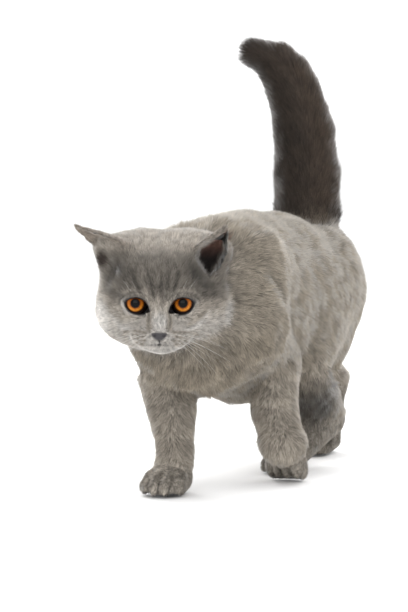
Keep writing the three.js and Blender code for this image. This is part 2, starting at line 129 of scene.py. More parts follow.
class Web:
    """The neighbours of each vertex of a mesh, for spreading values over its surface."""

    def __init__(self, mesh):
        ends = np.empty(len(mesh.edges) * 2, np.int64)
        mesh.edges.foreach_get("vertices", ends)
        ends = ends.reshape(-1, 2)
        self.a, self.b = ends[:, 0], ends[:, 1]
        self.n = len(mesh.vertices)
        self.count = np.maximum(np.bincount(ends.ravel(), minlength=self.n), 1)

    def mean(self, values):
        """Each vertex's neighbours' mean, for one column or several."""
        wide = values.reshape(self.n, -1)
        out = np.empty_like(wide, dtype=float)
        for k in range(wide.shape[1]):
            col = wide[:, k]
            out[:, k] = (np.bincount(self.a, col[self.b], self.n)
                         + np.bincount(self.b, col[self.a], self.n)) / self.count
        return out.reshape(values.shape)

    def spread(self, values, times, amount=1.0):
        for _ in range(times):
            values = values + amount * (self.mean(values) - values)
        return values


def face_normals_at_vertices(spots, tri):
    a, b, c = spots[tri[:, 0]], spots[tri[:, 1]], spots[tri[:, 2]]
    fn = np.cross(b - a, c - a)
    out = np.zeros_like(spots)
    for k in range(3):
        for axis in range(3):
            out[:, axis] += np.bincount(tri[:, k], fn[:, axis], len(spots))
    return unit(out)


# %% [markdown]
# ## One skin from many solids
#
# The solids are parted by thin cuts, and their faces are flat. A skin needs neither. The steps
# are: join copies of the flesh, swell them a hair so that the cuts close, and rebuild them as one
# even net of small squares (a voxel remesh). The other way, a boolean union, keeps every facet.
# Two balls fill the eye sockets for now, so that the lids can be shaped afresh. The planted right
# forepaw gets four rounded toes of its own, because its solid has too few faces to show them.

# %% Join and remesh the flesh
FLESH = [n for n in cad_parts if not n.startswith("eye")]
EYE_RADIUS = 10.2
NET = 2.0  # width of a square of the net
# Paws: middle of the foot on the floor, turn in degrees, width of a toe, reach of the middle toes.
PAWS = {"front_right": ((-5.8, -142.7), 10, 8.9, 23.5), "front_left": ((54.2, -36.9), 0, 8.1, 20),
        "hind_left": ((31.2, 13.8), 4, 7.6, 26), "hind_right": ((19.2, 132.8), 2, 7.6, 26)}
TOE_HALF = (5.6, 9.6, 7.6)  # half width, half length and half height of a rounded toe
TOE_MIDDLE_UP = 7.4
TOE_MIDDLE_BACK = 9  # from the reach of the toes back to a toe's middle
OUTER_TOE_BACK = 3.5  # how far the outer toes stay behind the middle ones


def paw_frame(paw):
    """A paw's place and turn, the width of a toe and the reach of its middle toes."""
    (x, y), turn, step, reach = PAWS[paw]
    place = Matrix.Translation((x, y, 0)) @ Matrix.Rotation(math.radians(turn), 4, "Z")
    return place, step, reach


def centre_of(node):
    low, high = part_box(node)
    return np.array((low + high) / 2) * 1000


EYES = {"left": centre_of("eye_left"), "right": centre_of("eye_right")}


def rough_skin():
    bm = bmesh.new()
    for name in FLESH:
        bm.from_mesh(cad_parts[name].data)
    bmesh.ops.remove_doubles(bm, verts=bm.verts, dist=1e-5)
    bm.normal_update()
    for v in bm.verts:
        v.co += v.normal * 0.0004
    for at in EYES.values():
        bmesh.ops.create_icosphere(bm, subdivisions=3, radius=(EYE_RADIUS + 0.6) / 1000,
                                   matrix=Matrix.Translation(Vector(at) / 1000))
    place, step, reach = paw_frame("front_right")
    for k in (-1.5, -0.5, 0.5, 1.5):
        ahead = reach - TOE_MIDDLE_BACK - OUTER_TOE_BACK * (abs(k) > 1)
        toe = place @ Matrix.Translation((k * step, -ahead, TOE_MIDDLE_UP))
        toe = Matrix.Scale(0.001, 4) @ toe @ Matrix.Diagonal((*TOE_HALF, 1))
        bmesh.ops.create_icosphere(bm, subdivisions=3, radius=1, matrix=toe)
    mesh = bpy.data.meshes.new("rough")
    bm.to_mesh(mesh)
    bm.free()
    obj = bpy.data.objects.new("rough", mesh)
    bpy.context.scene.collection.objects.link(obj)
    net = obj.modifiers.new("net", "REMESH")
    net.mode = "VOXEL"
    net.voxel_size = NET / 1000
    made = bpy.data.meshes.new_from_object(
        obj.evaluated_get(bpy.context.evaluated_depsgraph_get()))
    bpy.data.objects.remove(obj)
    return made


skin_mesh = rough_skin()
spots, tri = read_mesh(skin_mesh)
print("net:", len(spots), "vertices,", len(tri), "triangles")
lap("net")

# %% [markdown]
# ## Which part of the body is this?
#
# Each vertex takes the name of the nearest solid. Spreading those names over the net turns hard
# borders into soft weights, so the coat can change its length slowly from, say, shank to paw.

# %% Soft weights of the body's parts
PARTS = ["head", "ear", "neck", "trunk", "upper", "lower", "paw", "tail"]
HEAD, EAR, NECK, TRUNK, UPPER, LOWER, PAW, TAIL = range(len(PARTS))


def part_of(node):
    for key, names in {"head": ("head",), "ear": ("ear",), "neck": ("neck",),
                       "trunk": ("trunk",), "upper": ("upper", "thigh"),
                       "lower": ("forearm", "shank"), "paw": ("paw",),
                       "tail": ("tail",)}.items():
        if node.startswith(names):
            return PARTS.index(key)


def flesh_tree():
    points, faces, label = [], [], []
    for name in FLESH:
        p, t = read_mesh(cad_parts[name].data)
        faces += (t + len(points)).tolist()
        points += p.tolist()
        label += [part_of(name)] * len(t)
    return BVHTree.FromPolygons(points, faces), np.array(label)


tree, face_label = flesh_tree()
nearest = np.array([tree.find_nearest(p)[2] for p in spots])
label = face_label[nearest]
web = Web(skin_mesh)
weights = web.spread(np.eye(len(PARTS))[label], 10)
print({p: int((label == i).sum()) for i, p in enumerate(PARTS)})
lap("parts")


def weigh(w, **values):
    """A value for each vertex from one value for each part."""
    return sum(w[:, i] * values[p] for i, p in enumerate(PARTS))


# %% [markdown]
# ## Smoothing without shrinking
#
# Plain smoothing pulls a shape in. A small step back after each step in keeps its size. Facets
# of the trunk are large and take many rounds; ears and toes are thin and take few.

# %% Smooth the net
calm = weigh(weights, head=0.55, ear=0.36, neck=1, trunk=1, upper=1, lower=0.8, paw=0.25, tail=0.9)
for _ in range(26):
    for way in (0.62, -0.58):
        spots = spots + way * calm[:, None] * (web.mean(spots) - spots)
write_spots(skin_mesh, spots)
lap("smooth")

# %% [markdown]
# ## The face's own frame
#
# The cat looks up past its nose, straight at whoever stands before it. The face is shaped in a
# frame with its origin midway between the eyes: `u` to the cat's left, `v` up and `w` forwards
# along the gaze. The frame turns 23 degrees about the vertical and tips 4 degrees up.

# %% Frame of the face
GAZE_TURN, GAZE_UP = math.radians(23), math.radians(4)
W = np.array([math.sin(GAZE_TURN) * math.cos(GAZE_UP), -math.cos(GAZE_TURN) * math.cos(GAZE_UP),
              math.sin(GAZE_UP)])
U = np.array([math.cos(GAZE_TURN), math.sin(GAZE_TURN), 0.0])
V = np.cross(U, -W)
FACE = np.stack([U, V, W])
BETWEEN_EYES = (EYES["left"] + EYES["right"]) / 2


def to_face(p):
    return (p - BETWEEN_EYES) @ FACE.T


def from_face(q):
    return q @ FACE + BETWEEN_EYES


EYE_AT = {side: to_face(at[None])[0] for side, at in EYES.items()}
print("eyes in the face frame:", {k: v.round(1).tolist() for k, v in EYE_AT.items()})

# %% [markdown]
# ## Finer net on the face and the toes
#
# Lids and nostrils are smaller than the net's squares. The front of the head is split once more,
# and the patch round eyes and nose twice. The front of the two forepaws is split once, for the
# gaps between the toes.

# %% Split the net on face and forepaws
def split_where(mesh, chosen):
    bm = bmesh.new()
    bm.from_mesh(mesh)
    bm.verts.ensure_lookup_table()
    edges = [e for e in bm.edges if chosen[e.verts[0].index] and chosen[e.verts[1].index]]
    bmesh.ops.subdivide_edges(bm, edges=edges, cuts=1, use_grid_fill=True)
    bm.to_mesh(mesh)
    bm.free()


def eye_patch(q, size):
    near = [np.hypot(q[:, 0] - e[0], q[:, 1] - e[1] + 2) < size for e in EYE_AT.values()]
    return (near[0] | near[1]) & (q[:, 2] > -12)


q = to_face(spots)
split_where(skin_mesh, (np.hypot(q[:, 0], q[:, 1] + 12) < 38) & (q[:, 2] > -14))
spots, tri = read_mesh(skin_mesh)
q = to_face(spots)
nose_patch = (np.hypot(q[:, 0], (q[:, 1] + 26) / 1.1) < 13) & (q[:, 2] > 0)
split_where(skin_mesh, eye_patch(q, 14.5) | nose_patch)
spots, tri = read_mesh(skin_mesh)
PAW_HEIGHT = 22
right_toes = spots[:, 1] < -155
left_toes = np.hypot(spots[:, 0] - 54, spots[:, 1] + 52) < 24
split_where(skin_mesh, (spots[:, 2] < PAW_HEIGHT) & (right_toes | left_toes))
spots, tri = read_mesh(skin_mesh)
web = Web(skin_mesh)
nearest = np.array([tree.find_nearest(p)[2] for p in spots])
label = face_label[nearest]
weights = web.spread(np.eye(len(PARTS))[label], 10)
normal = face_normals_at_vertices(spots, tri)
print("finer net:", len(spots), "vertices,", len(tri), "triangles")
lap("finer net")

# %% [markdown]
# ## Eyelids
#
# Each opening is an almond, given by its outline in `u` and `v` from the centre of the eyeball.
# The signed distance to that outline says where a vertex is: inside the opening the skin drops
# behind the eyeball, at the rim it stands a little proud as the edge of the lid, and past the
# rim it runs out into the cheek and brow. The inner corner reaches down towards the nose.

# %% Shape the lids
UPPER_LID = [(-10.4, -6.7), (-9.2, -2.6), (-7.0, 0.9), (-4.2, 2.9), (-0.6, 3.8), (3.6, 3.4),
             (6.6, 2.2), (8.7, 0.4)]
LOWER_LID = [(7.5, -3.0), (5.2, -6.2), (2.0, -8.0), (-1.6, -8.6), (-5.0, -8.4), (-8.2, -7.7)]
LID_OUTLINE = np.array(UPPER_LID + LOWER_LID)


def outline_distance(p, outline):
    """Distance from the outline of a polygon, negative inside it."""
    best = np.full(len(p), 1e9)
    inside = np.zeros(len(p), bool)
    for a, b in zip(outline, np.roll(outline, -1, axis=0)):
        run = b - a
        t = np.clip(((p - a) @ run) / (run @ run), 0, 1)
        best = np.minimum(best, np.linalg.norm(p - a - t[:, None] * run, axis=1))
        crosses = (a[1] > p[:, 1]) != (b[1] > p[:, 1])
        inside ^= crosses & (p[:, 0] < a[0] + (p[:, 1] - a[1]) / (b[1] - a[1] + 1e-12) * run[0])
    return np.where(inside, -best, best)


def eye_fields(q):
    """For each eye: distance from its lids' outline and (u, v, w) from its centre."""
    for side, centre in EYE_AT.items():
        near = q - centre
        mirrored = near[:, :2] * ([1, 1] if side == "left" else [-1, 1])
        yield outline_distance(mirrored, LID_OUTLINE), near, mirrored


def shape_lids(q):
    w = q[:, 2].copy()
    for e, near, flat in eye_fields(q):
        front = near[:, 2] > -3
        reach = np.hypot(near[:, 0], near[:, 1])
        ball = np.sqrt(np.maximum(EYE_RADIUS ** 2 - reach ** 2, 0))
        lid = ball + 1.1 * smooth_step(EYE_RADIUS + 1, EYE_RADIUS - 2, reach)
        over = np.maximum(near[:, 2], lid) - near[:, 2]
        w += np.where(front, over * smooth_step(7, 2, e), 0)
        behind = np.where(reach < EYE_RADIUS * 0.97, ball - 1.6, near[:, 2] - 2.6)
        drop = near[:, 2] - behind
        w -= np.where(front, smooth_step(0.35, -0.75, e) * np.maximum(drop, 0), 0)
        rim = 0.7 * np.exp(-((e - 1.0) / 0.8) ** 2)
        fold = -0.7 * np.exp(-((e - 3.4) / 0.9) ** 2) * smooth_step(-3, 3, flat[:, 1])
        w += np.where(front & (e > 0), rim + fold, 0)
    out = q.copy()
    out[:, 2] = w
    return out


# %% [markdown]
# ## Nose, mouth and whisker pads
#
# The nose leather is a small rounded triangle with two comma-shaped nostrils. A groove runs from
# its tip to the mouth, and the mouth turns out and down on both sides under the whisker pads.
# Furrows run down both sides of the bridge. Each is a small push or pull along the gaze.

# %% Shape the nose and mouth
NOSE_OUTLINE = np.array([(-6.2, -23.7), (-3.4, -22.7), (0, -23.0), (3.4, -22.7), (6.2, -23.7),
                         (5.0, -25.6), (2.5, -27.8), (0, -29.2), (-2.5, -27.8), (-5.0, -25.6)])
MOUTH = [(0, -31.2), (3.0, -31.9), (6.2, -31.6), (9.5, -32.4), (12.5, -32.0)]


def polyline_distance(p, points):
    best = np.full(len(p), 1e9)
    for a, b in zip(points, points[1:]):
        a, run = np.array(a), np.array(b) - np.array(a)
        t = np.clip(((p - a) @ run) / (run @ run), 0, 1)
        best = np.minimum(best, np.linalg.norm(p - a - t[:, None] * run, axis=1))
    return best


def mirrored_flat(q):
    return np.stack([np.abs(q[:, 0]), q[:, 1]], axis=1)


def shape_muzzle(q):
    flat, half = q[:, :2], mirrored_flat(q)
    front = smooth_step(2, 8, q[:, 2])
    push = np.zeros(len(q))
    nose = outline_distance(flat, NOSE_OUTLINE)
    push += 0.9 * smooth_step(0.6, -1.4, nose)
    nostril = np.hypot((half[:, 0] - 3.5) / 1.6, (half[:, 1] + 24.9) / 1.0)
    push -= 1.5 * smooth_step(1.15, 0.3, nostril)
    wing = np.hypot((half[:, 0] - 6.3) / 1.2, (half[:, 1] + 25.4) / 1.6)
    push -= 0.7 * smooth_step(1.3, 0.2, wing)
    groove = polyline_distance(flat, [(0, -28.4), (0, -31.4)])
    push -= 1.1 * smooth_step(1.3, 0.1, groove)
    mouth = polyline_distance(half, MOUTH)
    push -= 1.2 * smooth_step(1.5, 0.1, mouth) * smooth_step(13, 6, half[:, 0])
    pad = np.hypot((half[:, 0] - 8.6) / 7.5, (half[:, 1] + 27.6) / 5.4)
    push += 1.5 * smooth_step(1.2, 0.1, pad)
    furrow = polyline_distance(half, [(7.6, -8.5), (7.4, -14), (6.6, -20)])
    push -= 1.2 * smooth_step(3.4, 0.2, furrow)
    out = q.copy()
    out[:, 2] += push * front
    return out


# %% [markdown]
# ## Hollow of the left ear
#
# The left ear is pricked and its hollow runs down into the temple. The opening is a long
# triangle in the face frame. Inside it the temple's skin is pushed back, but never past the
# bottom of the cup. The right ear lies out to the side, so only its lower edge opens forwards.

# %% Open the ear
EAR_OPENING = np.array([(29.2, 40.5), (28.0, 32.2), (33.4, 23.8), (37.6, 19.2), (43.4, 28.0),
                        (49.2, 37.6), (50.8, 46.2), (52.8, 56.6), (45, 51.6), (36, 45.6)])
CUP_DEPTH, CUP_BOTTOM = 13, -22


def shape_ears(q):
    inside = smooth_step(0.6, -3.0, outline_distance(q[:, :2], EAR_OPENING))
    back = np.maximum(q[:, 2] - CUP_DEPTH, CUP_BOTTOM)
    out = q.copy()
    out[:, 2] += inside * np.minimum(back - q[:, 2], 0)
    return out


# %% [markdown]
# ## Toes and folds
#
# Toes are a wave across the front of a paw: the skin stands out on each toe and sinks between
# two. Folds of loose skin, such as the one behind the shoulder, are lines on the body. Near a
# line the skin stands out or sinks a little, and the coat there takes a lighter or darker tone:
# painted light on the raised folds, painted shade in the sunken ones and on the top of a forearm.

# %% Shape the toes and the folds
def near_toes(p):
    """How far a point is among the toes, and where across them: whole numbers lie between two."""
    among, across = np.zeros(len(p)), np.zeros(len(p))
    for paw in PAWS:
        place, step, reach = paw_frame(paw)
        own = p @ np.array(place.inverted().to_3x3()).T + np.array(place.inverted().translation)
        here = smooth_step(0.2 * reach, 0.55 * reach, -own[:, 1]) * smooth_step(-2, 3, own[:, 2])
        here *= smooth_step(21, 14, own[:, 2]) * (np.abs(own[:, 0]) < 2.3 * step)
        here *= -own[:, 1] < reach + 14
        across = np.where(here > among, own[:, 0] / step, across)
        among = np.maximum(among, here)
    return among, across


# Folds: a line on the body, half its width, how far it stands out, and its tone: above 1 painted
# light, below 1 painted shade. In turn: edge of the left shoulder, the hollow behind it, roll at
# the base of the neck, throat, top of a forearm.
FOLDS = [([(48, -102, 178), (57, -100, 170), (63, -98, 160), (68, -94, 149), (72, -91, 138),
           (73, -83, 127), (67, -60, 113), (63, -43, 98), (65, -42, 80)], 2.6, 0.8, 1.38),
         ([(50, -97, 186), (62, -90, 170), (68, -84, 158), (70, -80, 148), (65, -55, 128),
           (60, -30, 112), (57, -12, 96)], 6, -2.2, 0.74),
         ([(-34, -112, 88), (-14, -120, 85), (2.6, -126, 84.5), (15.5, -125, 86), (28, -123, 94),
           (41.5, -122, 108)], 5, 0.8, 1.28),
         ([(-30, -130, 109), (-10, -137, 110), (8, -138, 110.5), (23, -133.5, 110.7),
           (38, -126, 118)], 7, -0.8, 0.76),
         ([(-33, -112, 69), (-18, -116.6, 68), (-8, -110, 68)], 6, 0, 0.76)]


def folds(p):
    """How far the folds stand out at each point, and their painted light and shade there."""
    rise, tone = np.zeros(len(p)), np.ones(len(p))
    for line, half, height, share in FOLDS:
        near = np.exp(-(polyline_distance(p, line) / half) ** 2)
        rise += height * near
        tone *= 1 + (share - 1) * near
    return rise, tone


# %% Put face, toes and folds on the skin
TOE_RELIEF = 0.5
q = to_face(spots)
on_head = weights[:, HEAD] + weights[:, EAR] > 0.5
shaped = shape_ears(shape_muzzle(shape_lids(q)))
spots = np.where(on_head[:, None], from_face(shaped), spots)
spots = spots + 0.35 * on_head[:, None] * (web.mean(spots) - spots)
among, across = near_toes(spots)
relief = -np.cos(2 * math.pi * across) * (np.abs(across) < 1.95) * among
spots = spots + (TOE_RELIEF * relief + folds(spots)[0] * (1 - on_head))[:, None] * normal
at_nape = smooth_step(0.02, 0.3, np.minimum(weights[:, HEAD], weights[:, NECK] + weights[:, TRUNK]))
at_nape = web.spread(at_nape * smooth_step(-38, -58, q[:, 2]), 8)[:, None]
for _ in range(24):
    spots = spots + 0.7 * at_nape * (web.mean(spots) - spots)
normal = face_normals_at_vertices(spots, tri)
print("largest move on the face:", round(float(np.abs(shaped - q).max()), 1), "mm")
lap("face")

# %% [markdown]
# ## Room for the coat
#
# The solids end at the tips of the coat, so the skin steps back by the coat's depth: least on
# face, ears and feet, most on the tail. The depth is spread first, so that the step is even.

# %% Step back by the coat's depth
q = to_face(spots)
lid_edge = np.min([e for e, _, _ in eye_fields(q)], axis=0)
nose_edge = outline_distance(q[:, :2], NOSE_OUTLINE)
front_face = q[:, 2] > -6
depth = weigh(weights, head=2.7, ear=0.4, neck=5.0, trunk=4.6, upper=4.3, lower=3.5, paw=1.8,
              tail=8.5)
muzzle = smooth_step(26, 8, np.hypot(q[:, 0], q[:, 1] + 26)) * front_face
depth = depth * (1 - 0.6 * muzzle)
near_eye = np.where(front_face, smooth_step(9, 1.0, lid_edge), 0)
depth = depth * (1 - near_eye * 0.97)
depth = np.where(front_face, depth * smooth_step(0.3, 3, nose_edge), depth)
depth = np.minimum(web.spread(depth, 6), depth + 0.4)
spots = spots - normal * depth[:, None]
spots = spots + (0.5 * smooth_step(4, 8, depth))[:, None] * (web.spread(spots, 4) - spots)
spots[:, 2] = np.maximum(spots[:, 2], 0.6)
write_spots(skin_mesh, spots)
normal = face_normals_at_vertices(spots, tri)
print("coat depth from", depth.min().round(1), "to", depth.max().round(1), "mm")
lap("coat depth")

# %% [markdown]
# ## Unwrap
#
# The net is cut into pieces that lie flat, by the way each face looks. Skin and coat share this
# unwrap, so a tuft's colour can be baked at the place where it grows.

# %% Unwrap the skin
def as_object(name, mesh):
    obj = bpy.data.objects.new(name, mesh)
    bpy.context.scene.collection.objects.link(obj)
    return obj


skin = as_object("skin", skin_mesh)


def unwrap(obj):
    bpy.context.view_layer.objects.active = obj
    obj.select_set(True)
    bpy.ops.object.mode_set(mode="EDIT")
    bpy.ops.mesh.select_all(action="SELECT")
    bpy.ops.uv.smart_project(angle_limit=math.radians(70), island_margin=0.002)
    bpy.ops.object.mode_set(mode="OBJECT")
    obj.data.uv_layers[0].name = "OFBake"


unwrap(skin)
skin_mesh.calc_loop_triangles()
tri_loops = np.empty(len(skin_mesh.loop_triangles) * 3, np.int32)
skin_mesh.loop_triangles.foreach_get("loops", tri_loops)
loop_uv = np.empty(len(skin_mesh.loops) * 2)
skin_mesh.uv_layers["OFBake"].data.foreach_get("uv", loop_uv)
tri_uv = loop_uv.reshape(-1, 2)[tri_loops].reshape(-1, 3, 2)
spots, tri = read_mesh(skin_mesh)
lap("unwrap")

# %% [markdown]
# ## Markings
#
# A blue coat is one colour with a ghost of tabby in it: a darker forehead with a faint M, smudges
# below the ears, a dark line from the corner of each eye, pale cheeks, muzzle and chin, rows of
# dots where the whiskers grow, and a darker tail. One function paints them all as shares of a
# base colour, and both skin and coat take their colour from it. It also paints light and shade
# into the colour: painted shade on the left hind leg, the tail's right side, under the right ear,
# deep in the left ear, in hollows, between the toes and beside the nose; painted light and shade
# in the folds; painted rim light on the cheeks' edges and the top of the head; a painted highlight
# on the bridge of the nose; painted light on the tops of the paws and, in part, on lower legs and
# paws.

# %% Paint the markings
def from_screen(r, g, b):
    c = np.array([r, g, b]) / 255
    return np.where(c <= 0.04045, c / 12.92, ((c + 0.055) / 1.055) ** 2.4)


# Lower legs and paws are lighter than the trunk, partly as painted light from the pale floor.
PART_COLOUR = dict(head=from_screen(136, 129, 120), ear=from_screen(128, 120, 111),
                   neck=from_screen(134, 126, 114), trunk=from_screen(118, 110, 98),
                   upper=from_screen(130, 122, 110), lower=from_screen(147, 139, 128),
                   paw=from_screen(170, 162, 151), tail=from_screen(66, 56, 48))
NOSE_LEATHER = from_screen(46, 43, 46)
LID_RIM = from_screen(20, 17, 18)
# Inside the left ear the colour darkens towards the bottom of the hollow: painted shade.
CUP_TOP, CUP_DEEP_SHADE = from_screen(116, 86, 75), from_screen(22, 16, 15)
EAR_FUR, EAR_SHADE = from_screen(134, 124, 113), from_screen(50, 42, 38)
SOLE = from_screen(70, 66, 70)

# Soft spots on the face: centre (u, v), half sizes, and what the colour is multiplied by there.
# The pale spot on the bridge of the nose, at (0.6, -15.5), is a painted highlight.
FACE_SPOTS = [((-30, 23), (9, 7), 0.42), ((26, 20), (9, 9), 0.36), ((-38, 14), (5, 9), 0.70),
              ((35, 9), (7, 6), 0.62), ((-18.5, 8), (8, 3), 1.45), ((19.5, 8), (8, 3), 1.45),
              ((1, 9), (7, 8), 0.80), ((0.6, -15.5), (4.4, 6.2), 1.38), ((0, -36), (13, 4.5), 1.15),
              ((-10, -28), (8, 4), 1.10), ((10, -28), (8, 4), 1.10), ((-24, -11), (9, 5), 0.82),
              ((27, -11), (9, 5), 0.86), ((0, 33), (20, 8), 1.10)]
# Stripes: a line, its half width and what the colour is multiplied by on it.
FACE_STRIPES = [([(-19, 21), (-16, 14), (-14.5, 8)], 1.5, 0.40),
                ([(-8, 22), (-5.4, 13), (-3.4, 3)], 1.2, 0.48),
                ([(-11.5, 20), (-9.8, 12), (-8.4, 5)], 1.2, 1.35),
                ([(1.2, 21), (1.4, 12), (1.4, 3)], 1.0, 0.62),
                ([(-2, 20), (-1, 12), (-0.8, 5)], 0.9, 1.3),
                ([(13.5, 21), (11.6, 14), (10.6, 7)], 1.5, 0.40),
                ([(4.2, 20), (3.6, 12), (3.4, 5)], 0.9, 1.3),
                ([(7.4, 20), (6.2, 12), (5.2, 4)], 1.0, 0.66),
                ([(27, 1.0), (33, 4.5), (40, 4.5)], 1.8, 0.62),
                ([(-27, 2.0), (-33, 6.5), (-41, 8)], 1.8, 0.66),
                ([(-24, 16), (-30, 14), (-36, 16)], 2.0, 0.74),
                ([(27, 13), (33, 11), (38, 12)], 2.0, 0.74),
                ([(17, -22), (26, -18), (33, -10)], 1.5, 1.30),
                ([(19, -17), (27, -12.5), (32, -6)], 1.3, 0.74),
                ([(-18, -22), (-27, -18), (-34, -10)], 1.5, 1.22)]


def face_share(q):
    """Dark brow, pale lower face and cheeks, the small marks, and painted light and shade."""
    u, v = q[:, 0], q[:, 1]
    # The lower face is paler. Towards the top of the head the colour is lighter: painted rim light.
    share = 0.52 + 1.1 * smooth_step(12, -17, v) + 0.7 * smooth_step(30, 46, v)
    # The outer edges of the cheeks are painted lighter: painted rim light.
    edge = 1.1 * smooth_step(33, 46, -u) + 0.9 * smooth_step(45, 52, u)
    share *= 1 + edge * smooth_step(24, 8, v)
    for (cu, cv), (wide, high), times in FACE_SPOTS:
        r = np.hypot((u - cu) / wide, (v - cv) / high)
        share *= 1 + (times - 1) * np.exp(-1.4 * r ** 2)
    for line, half_width, times in FACE_STRIPES:
        r = polyline_distance(q[:, :2], line) / half_width
        share *= 1 + (times - 1) * np.exp(-r ** 2)
    half = mirrored_flat(q)
    # Darker lines in the furrows beside the bridge of the nose: painted shade.
    furrow = polyline_distance(half, [(8.4, -6.5), (7.4, -13), (6.9, -20)])
    share *= 1 - 0.58 * np.exp(-(furrow / 1.5) ** 2)
    for row, v_row in enumerate((-22.6, -25.4, -28.2, -30.8)):
        for k in range(5):
            dot_at = (10.2 + 3.3 * k + 1.2 * (row % 2), v_row + 0.25 * k)
            share *= 1 - 0.72 * np.exp(-(np.hypot(*((half - dot_at) / [1.3, 0.85]).T)) ** 2)
    return share


def body_share(p, w, n):
    """Faint bars on flank and legs, a pale belly, and soft clouds everywhere."""
    bars = np.sin((p[:, 1] + 0.35 * p[:, 2] + 9 * noise(p, 45, 3)) / 24 * 2 * math.pi)
    rings = np.sin((p[:, 2] + 6 * noise(p, 30, 4)) / 21 * 2 * math.pi)
    share = 1 + 0.09 * bars * weigh(w, head=0, ear=0, neck=0.4, trunk=1, upper=0.6, lower=0,
                                     paw=0, tail=0)
    share += 0.08 * rings * weigh(w, head=0, ear=0, neck=0, trunk=0, upper=0.3, lower=1,
                                   paw=0.3, tail=0.9)
    share += 0.06 * noise(p, 26, 5) + 0.06 * noise(p, 9, 6)
    belly = smooth_step(-0.2, -0.9, n[:, 2]) * weigh(w, head=0, ear=0, neck=0.8, trunk=1, upper=0.3,
                                                     lower=0, paw=0, tail=0)
    return share * (1 + 0.18 * belly)


def towards_colour(colour, other, share):
    return colour + (other - colour) * share[:, None]


def greyer(colour, share):
    """Pale fur and painted light have less brown in them."""
    level = colour @ np.array([0.3, 0.59, 0.11])
    return towards_colour(colour, level[:, None] * np.array([1.03, 1.0, 0.96]), share)


EAR_OPENS = {1: np.array([0.55, -0.85, 0.1]), -1: np.array([-0.45, -0.75, -0.5])}
HEAD_TURN = np.array(Matrix.Rotation(math.radians(20), 3, "Z")
                     @ Matrix.Rotation(math.radians(20), 3, "X"))


def inside_ear(q, w, n):
    """1 on the hollow side of an ear, from the way the surface faces."""
    ear = smooth_step(0.35, 0.8, w[:, EAR])
    out = np.zeros(len(q))
    for side, opens in EAR_OPENS.items():
        way = HEAD_TURN @ unit(opens)
        out = np.where(q[:, 0] * side > 0, smooth_step(0.15, 0.55, n @ way), out)
    return ear * out


def in_cup(q, n):
    """1 in the opening of the left ear, where the surface looks forwards."""
    inside = smooth_step(0.5, -1.2, outline_distance(q[:, :2], EAR_OPENING))
    return inside * smooth_step(-44, -38, q[:, 2]) * smooth_step(-0.35, 0.1, n @ W)


def paint(p, w, n, q):
    colour = sum(w[:, i, None] * PART_COLOUR[part] for i, part in enumerate(PARTS))
    head = smooth_step(0.3, 0.8, w[:, HEAD] + w[:, EAR])
    ahead = smooth_step(-30, -12, q[:, 2]) * head
    marks = 1 + (face_share(q) - 1) * ahead
    colour = greyer(colour * marks[:, None], 0.8 * smooth_step(1.0, 2.0, marks))
    # Where the side of the head turns away from the gaze it is painted lighter and greyer: painted
    # rim light.
    cheek_rim_light = smooth_step(0.42, 0.0, n @ W) * smooth_step(-0.5, 0.2, n @ W) * head
    cheek_rim_light *= smooth_step(-42, -22, q[:, 2]) * smooth_step(30, 12, q[:, 1])
    colour = greyer(colour * (1 + 0.5 * cheek_rim_light)[:, None], 0.5 * cheek_rim_light)
    # Painted shade on the left hind leg, below the belly.
    hind = np.linalg.norm((p - [50, 34, 56]) / [26, 44, 40], axis=1)
    colour = colour * (1 - 0.8 * smooth_step(1.2, 0.35, hind))[:, None]
    # The tail's right side is darker: painted shade.
    tail_side_shade = smooth_step(0.8, -0.6, n @ [0.92, 0.39, 0]) * w[:, TAIL]
    colour = colour * (1 - 0.55 * tail_side_shade)[:, None]
    among, across = near_toes(p)
    gap = np.abs(across - np.round(across)) * 8.5
    # Dark lines in the gaps between the toes: painted shade.
    between = among * (np.abs(across) < 1.4) * np.exp(-(gap / 0.9) ** 2)
    between *= smooth_step(16, 11, p[:, 2]) * smooth_step(-0.2, -0.6, n[:, 1])
    shadow = smooth_step(7, 1.5, p[:, 2]) * w[:, PAW]
    # The tops of the paws are painted lighter: painted light. The fronts of the toes are a little
    # darker.
    paw_top_light = smooth_step(9, 19, p[:, 2]) * smooth_step(0.1, 0.7, n[:, 2]) * w[:, PAW]
    colour = colour * (1 + 0.3 * paw_top_light - 0.1 * w[:, PAW] * among)[:, None]
    # Along the folds the colour takes their painted light and shade.
    colour = colour * (body_share(p, w, n) * (1 - 0.75 * between) * (1 - 0.15 * shadow)
                       * (1 + (folds(p)[1] - 1) * (1 - w[:, HEAD])))[:, None]
    far_ear = inside_ear(q, w, n) * (q[:, 0] < 0)
    colour = towards_colour(colour, EAR_FUR, far_ear)
    # Painted shade in the hollow under the right ear.
    hollow = np.hypot((q[:, 0] + 42) / 5.5, (q[:, 1] - 32) / 6.5)
    colour = towards_colour(colour, EAR_SHADE, smooth_step(1.2, 0.4, hollow) * (q[:, 2] > -50))
    # Deep in the left ear's hollow the colour darkens: painted shade.
    low = smooth_step(50, 31, q[:, 1])[:, None]
    cup = CUP_TOP * (1 - low) + CUP_DEEP_SHADE * low
    colour = towards_colour(colour, cup, in_cup(q, n))
    under = smooth_step(-0.6, -0.95, n[:, 2]) * smooth_step(6, 2, p[:, 2])
    return towards_colour(colour, SOLE, under)


def bare_parts(q, front):
    """Shares of lid rim, nose leather and mouth line, which have no coat."""
    e = np.min([f[0] for f in eye_fields(q)], axis=0)
    rim = smooth_step(1.35, 0.55, e) * front
    nose = smooth_step(0.5, -0.3, outline_distance(q[:, :2], NOSE_OUTLINE)) * front
    line = np.minimum(polyline_distance(mirrored_flat(q), MOUTH[:4]),
                      polyline_distance(q[:, :2], [(0, -28.5), (0, -31.3)]))
    return rim, nose, smooth_step(0.9, 0.25, line) * front


q = to_face(spots)
front = smooth_step(-8, -4, q[:, 2]) * smooth_step(0.3, 0.6, weights[:, HEAD])
